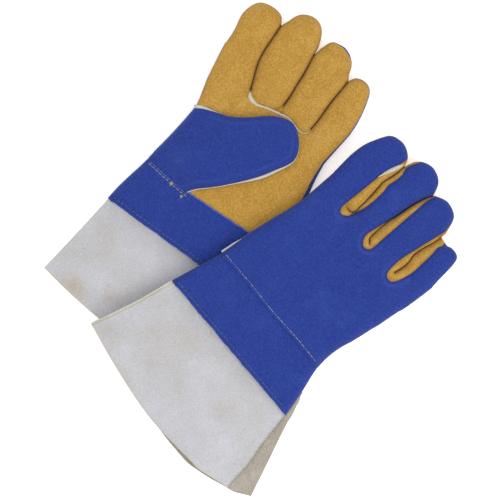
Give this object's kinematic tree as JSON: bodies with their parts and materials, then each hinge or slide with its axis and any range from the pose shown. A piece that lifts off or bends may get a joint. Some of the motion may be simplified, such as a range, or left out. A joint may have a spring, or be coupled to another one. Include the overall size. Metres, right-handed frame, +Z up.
{
  "type": "pair of gauntlet welding gloves",
  "caption": "Pair of leather gauntlet work gloves, one palm up and one palm down across it, with split-leather cuffs.",
  "frame": {"origin": "centre of the pair's bounding box, on the surface it lies on", "axes": "+Y along the right glove's fingers, +X from its thumb side to its little finger, +Z up"},
  "size_m": [0.3557, 0.3659, 0.0433],
  "materials": {
    "blue_leather": "suede",
    "gold_leather": "suede",
    "cuff_leather": "split leather, blotched",
    "welt": "raw cut edge",
    "lining": "cotton fleece",
    "thread": "waxed thread"
  },
  "bodies": {
    "left_hand": {"left_back_panel": "blue_leather", "left_palm_panel": "gold_leather", "left_hand_lining": "lining", "left_wrist_band_back": "blue_leather", "left_wrist_band_palm": "blue_leather", "left_stitching": "thread", "left_cuff_back": "cuff_leather", "left_cuff_palm": "cuff_leather", "left_cuff_welt": "welt"},
    "left_index": {"left_index_back": "blue_leather", "left_index_front": "gold_leather", "left_index_fourchette": "gold_leather", "left_index_lining": "lining"},
    "left_middle": {"left_middle_back": "blue_leather", "left_middle_front": "gold_leather", "left_middle_fourchettes": "gold_leather", "left_middle_lining": "lining"},
    "left_ring": {"left_ring_back": "blue_leather", "left_ring_front": "gold_leather", "left_ring_fourchettes": "gold_leather", "left_ring_lining": "lining"},
    "left_little": {"left_little_back": "blue_leather", "left_little_front": "gold_leather", "left_little_fourchette": "gold_leather", "left_little_lining": "lining"},
    "left_thumb": {"left_thumb_back": "blue_leather", "left_thumb_front": "gold_leather", "left_thumb_welt": "welt", "left_thumb_lining": "lining"},
    "right_hand": {"right_back_panel": "blue_leather", "right_palm_panel": "gold_leather", "right_hand_lining": "lining", "right_wrist_band_back": "blue_leather", "right_wrist_band_palm": "blue_leather", "right_stitching": "thread", "right_cuff_back": "cuff_leather", "right_cuff_palm": "cuff_leather", "right_cuff_welt": "welt"},
    "right_index": {"right_index_back": "blue_leather", "right_index_front": "gold_leather", "right_index_fourchette": "gold_leather", "right_index_lining": "lining"},
    "right_middle": {"right_middle_back": "blue_leather", "right_middle_front": "gold_leather", "right_middle_fourchettes": "gold_leather", "right_middle_lining": "lining"},
    "right_ring": {"right_ring_back": "blue_leather", "right_ring_front": "gold_leather", "right_ring_fourchettes": "gold_leather", "right_ring_lining": "lining"},
    "right_little": {"right_little_back": "blue_leather", "right_little_front": "gold_leather", "right_little_fourchette": "gold_leather", "right_little_lining": "lining"},
    "right_thumb": {"right_thumb_back": "blue_leather", "right_thumb_front": "gold_leather", "right_thumb_welt": "welt", "right_thumb_lining": "lining"}
  },
  "joints": [
    {"name": "right_glove_lift", "type": "slide", "parent": "left_hand", "child": "right_hand", "axis": [0, 0, 1], "range_m": [0, 0.15]},
    {"name": "left_index_curl", "type": "hinge", "parent": "left_hand", "child": "left_index", "pos_m": [-0.13738, 0.08556, 0.016], "axis": [0.9703, 0.2419, 0], "range_deg": [-5, 80]},
    {"name": "left_middle_curl", "type": "hinge", "parent": "left_hand", "child": "left_middle", "pos_m": [-0.10051, 0.09475, 0.016], "axis": [0.9703, 0.2419, 0], "range_deg": [-5, 80]},
    {"name": "left_ring_curl", "type": "hinge", "parent": "left_hand", "child": "left_ring", "pos_m": [-0.06946, 0.10249, 0.016], "axis": [0.9703, 0.2419, 0], "range_deg": [-5, 80]},
    {"name": "left_little_curl", "type": "hinge", "parent": "left_hand", "child": "left_little", "pos_m": [-0.03647, 0.11071, 0.016], "axis": [0.9703, 0.2419, 0], "range_deg": [-5, 80]},
    {"name": "left_thumb_open", "type": "hinge", "parent": "left_hand", "child": "left_thumb", "pos_m": [-0.10007, 0.01859, 0.016], "axis": [0.6157, -0.788, 0], "range_deg": [0, 85]},
    {"name": "right_index_curl", "type": "hinge", "parent": "right_hand", "child": "right_index", "pos_m": [0.0101, 0.07993, 0.01768], "axis": [-0.9976, 0, 0.0698], "range_deg": [-5, 80]},
    {"name": "right_middle_curl", "type": "hinge", "parent": "right_hand", "child": "right_middle", "pos_m": [0.04701, 0.07993, 0.0151], "axis": [-0.9976, 0, 0.0698], "range_deg": [-5, 80]},
    {"name": "right_ring_curl", "type": "hinge", "parent": "right_hand", "child": "right_ring", "pos_m": [0.08592, 0.07993, 0.01238], "axis": [-0.9976, 0, 0.0698], "range_deg": [-5, 80]},
    {"name": "right_little_curl", "type": "hinge", "parent": "right_hand", "child": "right_little", "pos_m": [0.12183, 0.07993, 0.00987], "axis": [-0.9976, 0, 0.0698], "range_deg": [-5, 80]},
    {"name": "right_thumb_open", "type": "hinge", "parent": "right_hand", "child": "right_thumb", "pos_m": [0.02322, 0.00596, 0.01897], "axis": [-0.4076, 0.9131, 0.0013], "range_deg": [0, 55]}
  ]
}
